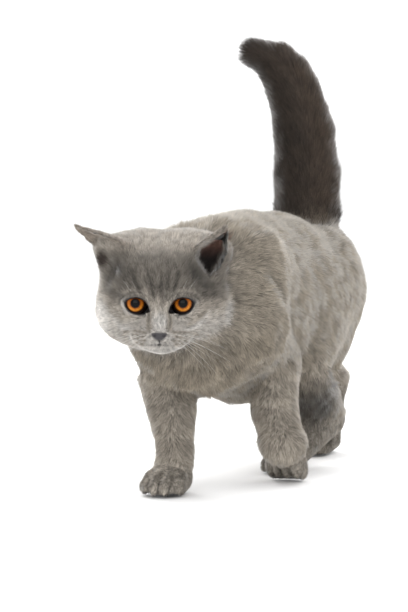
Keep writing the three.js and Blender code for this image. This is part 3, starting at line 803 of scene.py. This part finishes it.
# The coat is darker in hollows of the skin on the head, lower legs and paws: painted shade.
hollow = web.mean(spots) - spots
hollow = dot(web.spread(hollow, 2), normal)
groove = smooth_step(0.03, 0.22, hollow) * weigh(weights, head=0.2, ear=0, neck=0, trunk=0,
                                               upper=0, lower=0.3, paw=0.25, tail=0)
tone = paint(spots, weights, normal, q) * (1 - 0.6 * groove)[:, None]
rim, nose_share, mouth_share = bare_parts(q, front)
mouth_share *= smooth_step(11, 6, np.abs(q[:, 0]))
bare = np.maximum.reduce([rim, nose_share, mouth_share])
skin_colour = tone * 0.52
skin_colour = towards_colour(skin_colour, LID_RIM, rim)
skin_colour = towards_colour(skin_colour, NOSE_LEATHER, nose_share)
skin_colour = towards_colour(skin_colour, LID_RIM * 1.6, mouth_share)


def colour_layer(mesh, name, colour, domain="POINT"):
    layer = mesh.color_attributes.new(name, "FLOAT_COLOR", domain)
    rgba = np.ones((len(colour), 4), np.float32)
    rgba[:, :3] = colour
    layer.data.foreach_set("color", rgba.ravel())


colour_layer(skin_mesh, "colour", skin_colour)
wet = skin_mesh.attributes.new("wet", "FLOAT", "POINT")
wet.data.foreach_set("value", np.maximum(rim, nose_share * 0.8).astype(np.float32))
lap("markings")

# %% [markdown]
# ## Materials
#
# Hair is a rough, dull surface with a soft glow at grazing angles, which the sheen gives. Skin
# shows only between hairs, on lids, nose and inside the ears. A fine bump of noise stands for the
# underfur. Nose and lids are a little wet, so they are smoother.

# %% Skin and coat materials
def new_material(name):
    made = bpy.data.materials.new(name)
    made.use_nodes = True
    nodes, links = made.node_tree.nodes, made.node_tree.links
    return made, nodes, links, nodes["Principled BSDF"]


def coat_material():
    made, nodes, links, bsdf = new_material("coat")
    colour = nodes.new("ShaderNodeAttribute")
    colour.attribute_name = "colour"
    links.new(colour.outputs["Color"], bsdf.inputs["Base Color"])
    bsdf.inputs["Roughness"].default_value = 0.62
    bsdf.inputs["Specular IOR Level"].default_value = 0.25
    bsdf.inputs["Sheen Weight"].default_value = 0.35
    bsdf.inputs["Sheen Roughness"].default_value = 0.3
    return made


def skin_material():
    made, nodes, links, bsdf = new_material("skin")
    colour = nodes.new("ShaderNodeAttribute")
    colour.attribute_name = "colour"
    links.new(colour.outputs["Color"], bsdf.inputs["Base Color"])
    damp = nodes.new("ShaderNodeAttribute")
    damp.attribute_name = "wet"
    rough = nodes.new("ShaderNodeMapRange")
    rough.inputs["To Min"].default_value = 0.8
    rough.inputs["To Max"].default_value = 0.34
    links.new(damp.outputs["Fac"], rough.inputs["Value"])
    links.new(rough.outputs["Result"], bsdf.inputs["Roughness"])
    place = nodes.new("ShaderNodeTexCoord")
    grain = nodes.new("ShaderNodeTexNoise")
    grain.inputs["Scale"].default_value = 1100
    grain.inputs["Detail"].default_value = 3
    bump = nodes.new("ShaderNodeBump")
    bump.inputs["Strength"].default_value = 0.5
    bump.inputs["Distance"].default_value = 0.0004
    links.new(place.outputs["Object"], grain.inputs["Vector"])
    links.new(grain.outputs["Fac"], bump.inputs["Height"])
    links.new(bump.outputs["Normal"], bsdf.inputs["Normal"])
    return made


coat_look = coat_material()
skin_mesh.materials.append(skin_material())
skin_mesh.shade_smooth()
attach(skin, "root")
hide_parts(*FLESH)

# %% [markdown]
# ## The lie of the coat
#
# Hair grows away from the nose over the head, back along the trunk and down its sides, down the
# legs, towards the toes on the feet, and along the tail to its tip. Each part has its own way,
# and the weights turn one into the next. What points into the skin is taken off.

# %% Direction and length of the coat
def tail_ways(p, w):
    """The way along the tail, from the centres of its slices."""
    on_tail = w[:, TAIL] > 0.5
    levels = np.arange(p[on_tail, 2].min() + 6, p[on_tail, 2].max(), 12)
    centres = np.array([p[on_tail & (np.abs(p[:, 2] - z) < 9)].mean(axis=0) for z in levels])
    ways = unit(np.gradient(centres, axis=0))
    way = np.stack([np.interp(p[:, 2], levels, ways[:, k]) for k in range(3)], axis=1)
    tip = smooth_step(318, 350, p[:, 2])[:, None]
    return unit(way * (1 - tip) + tip * np.array([-0.85, -0.05, 0.45]))


def lie_of_coat(p, w, q, n):
    nose_tip = from_face(np.array([[0, -24.0, 12.0]]))[0]
    away = unit(p - nose_tip)
    for e, near, flat in eye_fields(q):
        away += unit(p - from_face(q - near)) * 1.6 * np.exp(-np.maximum(e, 0) / 3.5)[:, None]
    side = np.abs(n[:, 0])
    back = np.stack([0 * side, 1 + 0 * side, -0.25 - 0.75 * side], axis=1)
    chest = unit(away + np.array([0, 0.2, -0.9]))
    ways = dict(head=away, ear=unit(away) * 0.3 + np.array([0, 0.1, 1.0]), neck=chest, trunk=back,
                upper=np.array([0, 0.55, -1.0]), lower=np.array([0, 0.12, -1.0]),
                paw=np.array([0, -0.75, -0.65]), tail=tail_ways(p, w))
    total = sum(w[:, i, None] * unit(np.broadcast_to(ways[part], p.shape))
                for i, part in enumerate(PARTS))
    flat = total - dot(total, n)[:, None] * n
    return unit(flat)


flow = unit(web.spread(lie_of_coat(spots, weights, q, normal), 3))
length = weigh(weights, head=5.6, ear=3.0, neck=10, trunk=9.5, upper=9, lower=7, paw=3.2, tail=15)
length *= 1 - 0.55 * muzzle - 0.45 * near_eye
width = weigh(weights, head=0.72, ear=0.5, neck=1.1, trunk=1.15, upper=1.1, lower=0.95, paw=0.7,
              tail=1.1) * (1 - 0.3 * muzzle)
thick = weigh(weights, head=2.6, ear=2.8, neck=1.3, trunk=1.15, upper=1.2, lower=1.6, paw=2.2,
              tail=1.7) * (1 + 1.1 * muzzle + 0.6 * near_eye)
thick *= (1 - bare) * smooth_step(0.5, 1.4, spots[:, 2] / 1.0)
thick *= np.where(front > 0.5, smooth_step(0.8, 1.6, lid_edge), 1)
thick *= 1 - 0.6 * in_cup(q, normal)
sole = smooth_step(-0.6, -0.95, normal[:, 2]) * smooth_step(6, 2, spots[:, 2])
thick *= 1 - sole
lap("lie of the coat")

# %% [markdown]
# ## Tufts
#
# Each tuft is a thin three-sided spike, open at its foot: three triangles. It starts a little
# under the skin, follows the lie of the coat, and its tip rises to about where the solids end. A
# flat blade has fewer faces, but it turns dark seen from beneath. Spikes lean together in clumps,
# because noise moves their tips, and that breaks the coat into the soft mottles of plush. The
# normals used for shading follow the skin more than the spike, so that nearly half a million
# spikes read as one soft surface. Close to the floor they are shorter.

# %% Grow the coat
corner = {k: v[tri] for k, v in dict(p=spots, n=normal, flow=flow, tone=tone).items()}
corner1 = {k: v[tri] for k, v in dict(depth=depth, length=length, width=width, thick=thick).items()}
area = np.linalg.norm(np.cross(corner["p"][:, 1] - corner["p"][:, 0],
                               corner["p"][:, 2] - corner["p"][:, 0]), axis=1) / 2
part_weights = weights[tri].mean(axis=1)
share = area * corner1["thick"].mean(axis=1)
middle = corner["p"].mean(axis=1)
q_mid = to_face(middle)
strongest = part_weights.argmax(axis=1)
is_head = np.isin(strongest, [HEAD, EAR])
zones = {
    "coat_face": is_head & (q_mid[:, 2] > -26),
    "coat_crown": is_head & (q_mid[:, 2] <= -26),
    "coat_neck": strongest == NECK,
    "coat_flank_left": (strongest == TRUNK) & (corner["n"][:, 0, 0] > 0),
    "coat_flank_right": (strongest == TRUNK) & (corner["n"][:, 0, 0] <= 0),
    "coat_shoulders": (strongest == UPPER) & (middle[:, 1] < 0),
    "coat_haunches": (strongest == UPPER) & (middle[:, 1] >= 0),
    "coat_legs_front": np.isin(strongest, [LOWER, PAW]) & (middle[:, 1] < -12),
    "coat_legs_hind": np.isin(strongest, [LOWER, PAW]) & (middle[:, 1] >= -12),
    "coat_tail": strongest == TAIL,
}
BLADES = 480000
MOST = 66000


def blade_counts():
    total = share.sum()
    counts = {}
    for name, where in zones.items():
        counts[name] = min(MOST, int(BLADES * share[where].sum() / total))
    return counts


counts = blade_counts()
print({k: (v, round(float(area[zones[k]].sum()))) for k, v in counts.items()})


def fleck(p, along):
    """Light and dark streaks about 1.5 mm wide, drawn out along the coat."""
    bent = p + 1.2 * np.stack([noise(p, 5, 34), noise(p, 5, 35), noise(p, 5, 36)], axis=1)
    level = cells(bent * [1, 0.36, 0.85], 1.5, 31)
    upright = cells(bent * [1, 0.85, 0.36], 1.5, 32)
    streak = np.where(np.abs(along[:, 2]) > 0.62, upright, level)
    return 1 + 0.3 * streak + 0.09 * noise(p, 4.6, 33)


def grow(name, count):
    chance = np.where(zones[name], share, 0)
    chance = np.cumsum(chance / chance.sum())
    pick = np.minimum(np.searchsorted(chance, rng.random(count)), len(chance) - 1)
    a, b = rng.random((2, count))
    flip = a + b > 1
    a, b = np.where(flip, 1 - a, a), np.where(flip, 1 - b, b)
    mix = np.stack([1 - a - b, a, b], axis=1)

    def at(key):
        return np.einsum("nk,nkc->nc", mix, corner[key][pick])

    def at1(key):
        return np.einsum("nk,nk->n", mix, corner1[key][pick])

    root, n = at("p"), unit(at("n"))
    along = at("flow")
    along = unit(along - dot(along, n)[:, None] * n)
    across = np.cross(n, along)
    long = at1("length") * rng.uniform(0.75, 1.2, count) * smooth_step(-4, 6, root[:, 2])
    rise = at1("depth") * rng.uniform(0.74, 1.12, count)
    rise *= np.where(rng.random(count) < 0.08, 1.22, 1.0)
    wide = at1("width") * rng.uniform(0.7, 1.2, count)
    sway = np.stack([noise(root, 5.5, 21), noise(root, 5.5, 22)], axis=1)
    soft = np.clip(long / 12, 0.2, 1.3)
    turn = 0.16 * rng.standard_normal(count) + 0.42 * sway[:, 0]
    along = unit(along * np.cos(turn)[:, None] + across * np.sin(turn)[:, None])
    across = np.cross(n, along)
    rise = np.minimum(rise, long * 0.86) * (1 + 0.13 * sway[:, 1] * soft)
    reach = np.sqrt(np.maximum(long ** 2 - rise ** 2, 0))
    roll = rng.normal(0, 0.5, count)
    edge = across * np.cos(roll)[:, None] + n * np.sin(roll)[:, None]
    ridge = n * np.cos(roll)[:, None] - across * np.sin(roll)[:, None]
    foot = root - n * 0.25
    half = (wide / 2)[:, None] * edge
    tip = root + along * reach[:, None] + n * rise[:, None]
    points = np.stack([foot + half, foot - half, foot + ridge * (0.45 * wide)[:, None], tip], axis=1)
    points[:, :, 2] = np.maximum(points[:, :, 2], 0.15)
    shade = unit(n * 1.0 + along * 0.2 + across * (0.35 * sway[:, 0] + 0.3 * np.sin(roll))[:, None]
                 + along * (0.25 * sway[:, 1])[:, None])
    mottle = fleck(root, along) + 0.16 * rng.standard_normal(count)
    base = at("tone") * np.clip(mottle, 0.35, 1.9)[:, None]
    fade = np.array([0.42, 0.42, 0.48, 1.65])
    colours = base[:, None, :] * fade[None, :, None]
    home = np.einsum("nk,nkc->nc", mix, tri_uv[pick])
    return points, shade, colours, home


def coat_mesh(name, points, shade, colours, home):
    count = len(points)
    mesh = bpy.data.meshes.new(name)
    mesh.vertices.add(count * 4)
    mesh.vertices.foreach_set("co", (points / 1000).astype(np.float32).ravel())
    first = np.arange(count) * 4
    corners = np.stack([first, first + 2, first + 3, first + 2, first + 1, first + 3,
                        first + 1, first, first + 3], axis=1).ravel().astype(np.int32)
    mesh.loops.add(len(corners))
    mesh.loops.foreach_set("vertex_index", corners)
    mesh.polygons.add(count * 3)
    mesh.polygons.foreach_set("loop_start", np.arange(count * 3, dtype=np.int32) * 3)
    mesh.update(calc_edges=True)
    mesh.shade_smooth()
    patch = np.array([[-1, -1], [1, -1], [0, -0.4], [0, 1]]) * 0.0015
    uv = (np.clip(home, 0.002, 0.998)[:, None, :] + patch[None]).reshape(-1, 2)
    mesh.uv_layers.new(name="OFBake").data.foreach_set("uv", uv[corners].astype(np.float32).ravel())
    colour_layer(mesh, "colour", colours.reshape(-1, 3))
    mesh.normals_split_custom_set_from_vertices(np.repeat(shade, 4, axis=0).astype(np.float32))
    mesh.materials.append(coat_look)
    return mesh


for name, count in counts.items():
    piece = as_object(name, coat_mesh(name, *grow(name, count)))
    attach(piece, "root")
lap("coat")

# %% [markdown]
# ## Eyes
#
# Copper eyes: a dark rim, an amber iris with fine rays, and a round pupil. The iris is painted
# lighter towards its lower edge, as painted light, and darker at its top, as painted shadow of the
# upper lid. The front bulges a little, as a cornea does. The colours are painted in rings round
# the gaze, and a clear coat makes the surface shine.

# %% Make the eyes
IRIS_HALF = 7.0
PUPIL_HALF = 3.5
GAZE_SHIFT = {"left": (-0.1, -0.1), "right": (-0.4, -0.3)}


def eye_mesh(side, rings=56, rays=160):
    centre = EYES[side]
    bend = np.linspace(0, math.pi, rings + 1)[1:-1]
    turn = np.linspace(0, 2 * math.pi, rays, endpoint=False)
    t, a = np.meshgrid(bend, turn, indexing="ij")
    du, dv = GAZE_SHIFT[side]
    gaze = unit(W * EYE_RADIUS + U * du + V * dv)
    right = unit(np.cross(V, gaze))
    up = np.cross(gaze, right)
    half = np.sin(t) * EYE_RADIUS
    bulge = 0.55 * smooth_step(7.4, 2, half) * (t < math.pi / 2)
    radius = EYE_RADIUS - 0.35 + bulge

    def place(t, a, radius):
        return centre + radius[..., None] * (
            np.cos(t)[..., None] * gaze + (np.sin(t) * np.cos(a))[..., None] * right
            + (np.sin(t) * np.sin(a))[..., None] * up)

    points = place(t, a, radius).reshape(-1, 3)
    front, rear = centre + gaze * (EYE_RADIUS + 0.2), centre - gaze * (EYE_RADIUS - 0.35)
    points = np.vstack([points, front, rear])
    grid = np.arange((rings - 1) * rays).reshape(rings - 1, rays)
    beside = np.roll(grid, -1, axis=1)
    quads = np.stack([grid[:-1], grid[1:], beside[1:], beside[:-1]], axis=-1).reshape(-1, 4)
    n_front, n_rear = len(points) - 2, len(points) - 1
    faces = quads.tolist()
    faces += [[n_front, int(grid[0, k]), int(beside[0, k])] for k in range(rays)]
    faces += [[n_rear, int(beside[-1, k]), int(grid[-1, k])] for k in range(rays)]
    mesh = bpy.data.meshes.new("eye_" + side)
    mesh.from_pydata((points / 1000).tolist(), [], faces)
    out = np.concatenate([half.ravel(), [0, 0]])
    turned = np.concatenate([a.ravel(), [0, 0]])
    colour_layer(mesh, "colour", eye_colour(out, turned, np.concatenate([t.ravel(), [0, 3]])))
    mesh.shade_smooth()
    return mesh


def eye_colour(out, turned, bend):
    amber, deep, gold = (from_screen(*c) for c in ((146, 78, 20), (70, 32, 8), (198, 128, 42)))
    dark, pupil = from_screen(20, 14, 12), from_screen(4, 4, 6)
    rays = np.stack([np.cos(turned) * 9, np.sin(turned) * 9, out * 0.55], axis=1)
    grain = 0.6 * noise(rays, 0.8, 41) + 0.4 * noise(rays, 0.36, 42)
    r = out / IRIS_HALF
    # The lower part of the iris is painted light, and its top painted shadow of the upper lid.
    lower_iris_light = smooth_step(0.45, -0.9, np.sin(turned))
    colour = np.repeat(amber[None], len(out), axis=0)
    colour = towards_colour(colour, deep, smooth_step(0.72, 0.5, r) * 0.55)
    colour = towards_colour(colour, gold, lower_iris_light * smooth_step(0.5, 0.8, r) * 0.65)
    colour = towards_colour(colour, deep, smooth_step(0.35, 1.0, np.sin(turned)) * 0.6)
    colour = towards_colour(colour, deep * 0.6, smooth_step(0.8, 0.98, r) * 0.95)
    colour = colour * (1 + 0.42 * grain)[:, None]
    colour = towards_colour(colour, pupil, smooth_step(PUPIL_HALF + 0.25, PUPIL_HALF - 0.2, out))
    outside = np.maximum(smooth_step(0.96, 1.05, r), bend > math.pi / 2)
    return towards_colour(colour, dark, outside)


def eye_material():
    made, nodes, links, bsdf = new_material("eye")
    colour = nodes.new("ShaderNodeAttribute")
    colour.attribute_name = "colour"
    links.new(colour.outputs["Color"], bsdf.inputs["Base Color"])
    bsdf.inputs["Roughness"].default_value = 0.5
    bsdf.inputs["Specular IOR Level"].default_value = 0
    bsdf.inputs["Coat Weight"].default_value = 0.22
    bsdf.inputs["Coat Roughness"].default_value = 0.03
    return made


eye_look = eye_material()
for side in EYES:
    mesh = eye_mesh(side)
    mesh.materials.append(eye_look)
    eye = as_object("eyeball_" + side, mesh)
    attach(eye, "root")
    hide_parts("eye_" + side)
lap("eyes")

# %% [markdown]
# ## Whiskers
#
# Whiskers are the only hairs long enough to be made one at a time. Each is a thin tapering tube
# of three sides that leaves the pad outwards and sags. A few stand over each eye.

# %% Make the whiskers
skin_tree = BVHTree.FromPolygons(spots.tolist(), tri.tolist())


def on_skin(u, v):
    """Where a line against the gaze through (u, v) of the face frame meets the skin."""
    start = from_face(np.array([[u, v, 80.0]]))[0]
    hit = skin_tree.ray_cast(Vector(start), Vector(-W))
    return np.array(hit[0])


def whisker(root, way, long, sag, thick):
    steps = np.linspace(0, 1, 12)[:, None]
    line = root + way * long * steps + np.array([0, 0.12, -1.0]) * sag * steps ** 2
    axis = unit(np.gradient(line, axis=0))
    first = unit(np.cross(axis, [0, 0, 1.0]))
    second = np.cross(axis, first)
    radius = thick / 2 * (1 - 0.9 * steps)
    rings = [line + radius * (first * math.cos(k) + second * math.sin(k))
             for k in np.arange(3) * 2 * math.pi / 3]
    return np.stack(rings, axis=1)


def whisker_mesh():
    tubes = []
    for side in (-1, 1):
        for row, v in enumerate((-24.2, -27.0, -29.6)):
            for k in range(3):
                u = side * (12 + 3.6 * k + 0.9 * row)
                out = unit(U * side + W * (0.24 - 0.15 * k) - V * (0.18 + 0.2 * row)
                           + rng.normal(0, 0.07, 3))
                tubes.append(whisker(on_skin(u, v) - out, out, rng.uniform(27, 40),
                                     rng.uniform(3, 9), 0.24))
        for k in range(2):
            out = unit(U * side * (0.35 + 0.25 * k) + V * 0.9 + W * 0.35)
            tubes.append(whisker(on_skin(side * (17 + 4 * k), 8.0) - out, out,
                                 rng.uniform(14, 20), 2, 0.18))
    points, faces = [], []
    for tube in tubes:
        base = len(points)
        points += (tube.reshape(-1, 3) / 1000).tolist()
        for i in range(11):
            for k in range(3):
                a, b = base + i * 3 + k, base + i * 3 + (k + 1) % 3
                faces.append([a, b, b + 3, a + 3])
        faces += [[base + 2, base + 1, base], [base + 33, base + 34, base + 35]]
    mesh = bpy.data.meshes.new("whiskers")
    mesh.from_pydata(points, [], faces)
    mesh.shade_smooth()
    return mesh


whiskers = as_object("whiskers", whisker_mesh())
made, _, _, bsdf = new_material("whisker")
bsdf.inputs["Base Color"].default_value = (0.8, 0.79, 0.76, 1)
bsdf.inputs["Roughness"].default_value = 0.4
whiskers.data.materials.append(made)
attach(whiskers, "root")

# %% [markdown]
# ## Floor, light and camera
#
# A pale floor and a white surround light the cat from all sides, as in a studio built to show
# outlines. The surround is brighter behind the cat than in front. Two soft panels behind it, left
# and right, give the rims on cheeks, ears and legs. One overhead lights the back, and a weak one
# in front fills the face.

# %% Floor, light and camera
bpy.ops.mesh.primitive_plane_add(size=90)
floor = bpy.context.object
floor.name = "floor"
made, _, _, bsdf = new_material("floor")
bsdf.inputs["Base Color"].default_value = (0.95, 0.95, 0.95, 1)
bsdf.inputs["Roughness"].default_value = 0.7
floor.data.materials.append(made)

world = bpy.data.worlds.new("studio")
bpy.context.scene.world = world
world.use_nodes = True
nodes, links = world.node_tree.nodes, world.node_tree.links
where = nodes.new("ShaderNodeTexCoord")
parts = nodes.new("ShaderNodeSeparateXYZ")
glow = nodes.new("ShaderNodeMapRange")
for name, value in {"From Min": -0.7, "From Max": 0.7, "To Min": 0.92, "To Max": 1.45}.items():
    glow.inputs[name].default_value = value
links.new(where.outputs["Generated"], parts.inputs["Vector"])
links.new(parts.outputs["Y"], glow.inputs["Value"])
links.new(glow.outputs["Result"], nodes["Background"].inputs["Strength"])
nodes["Background"].inputs["Color"].default_value = (1, 1, 1, 1)


def panel(name, at, aim, size, watts):
    light = bpy.data.lights.new(name, "AREA")
    light.shape = "RECTANGLE"
    light.size, light.size_y = size
    light.energy = watts
    obj = bpy.data.objects.new(name, light)
    bpy.context.scene.collection.objects.link(obj)
    obj.location = at
    obj.rotation_euler = (Vector(aim) - Vector(at)).to_track_quat("-Z", "Y").to_euler()


CAT_MIDDLE = (0, 0, 0.15)
panel("overhead", (-0.3, 0.2, 1.6), CAT_MIDDLE, (1.4, 1.4), 8)
panel("rim_left", (-1.55, 1.15, 0.55), CAT_MIDDLE, (0.9, 1.2), 30)
panel("rim_right", (0.3, 1.9, 0.55), CAT_MIDDLE, (0.9, 1.2), 24)
panel("fill", (0.6, -2.0, 0.7), CAT_MIDDLE, (1.4, 1.0), 11)

camera_data = bpy.data.cameras.new("camera")
camera_data.sensor_fit = "AUTO"
camera_data.sensor_width = 36
camera_data.lens = 36 * 2436 / 612
camera = bpy.data.objects.new("camera", camera_data)
bpy.context.scene.collection.objects.link(camera)
TURN, DISTANCE, EYE_LEVEL = math.radians(23), 1.9, 0.280
DIP = math.atan(173 / 2436)
way = Vector((-math.sin(TURN) * math.cos(DIP), math.cos(TURN) * math.cos(DIP), -math.sin(DIP)))
camera.location = (0.013258 + DISTANCE * math.sin(TURN), -0.112789 - DISTANCE * math.cos(TURN),
                   EYE_LEVEL)
camera.rotation_euler = way.to_track_quat("-Z", "Y").to_euler()
bpy.context.scene.camera = camera
bpy.context.scene.view_settings.view_transform = "Standard"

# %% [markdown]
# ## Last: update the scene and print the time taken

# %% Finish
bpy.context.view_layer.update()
lap("all")
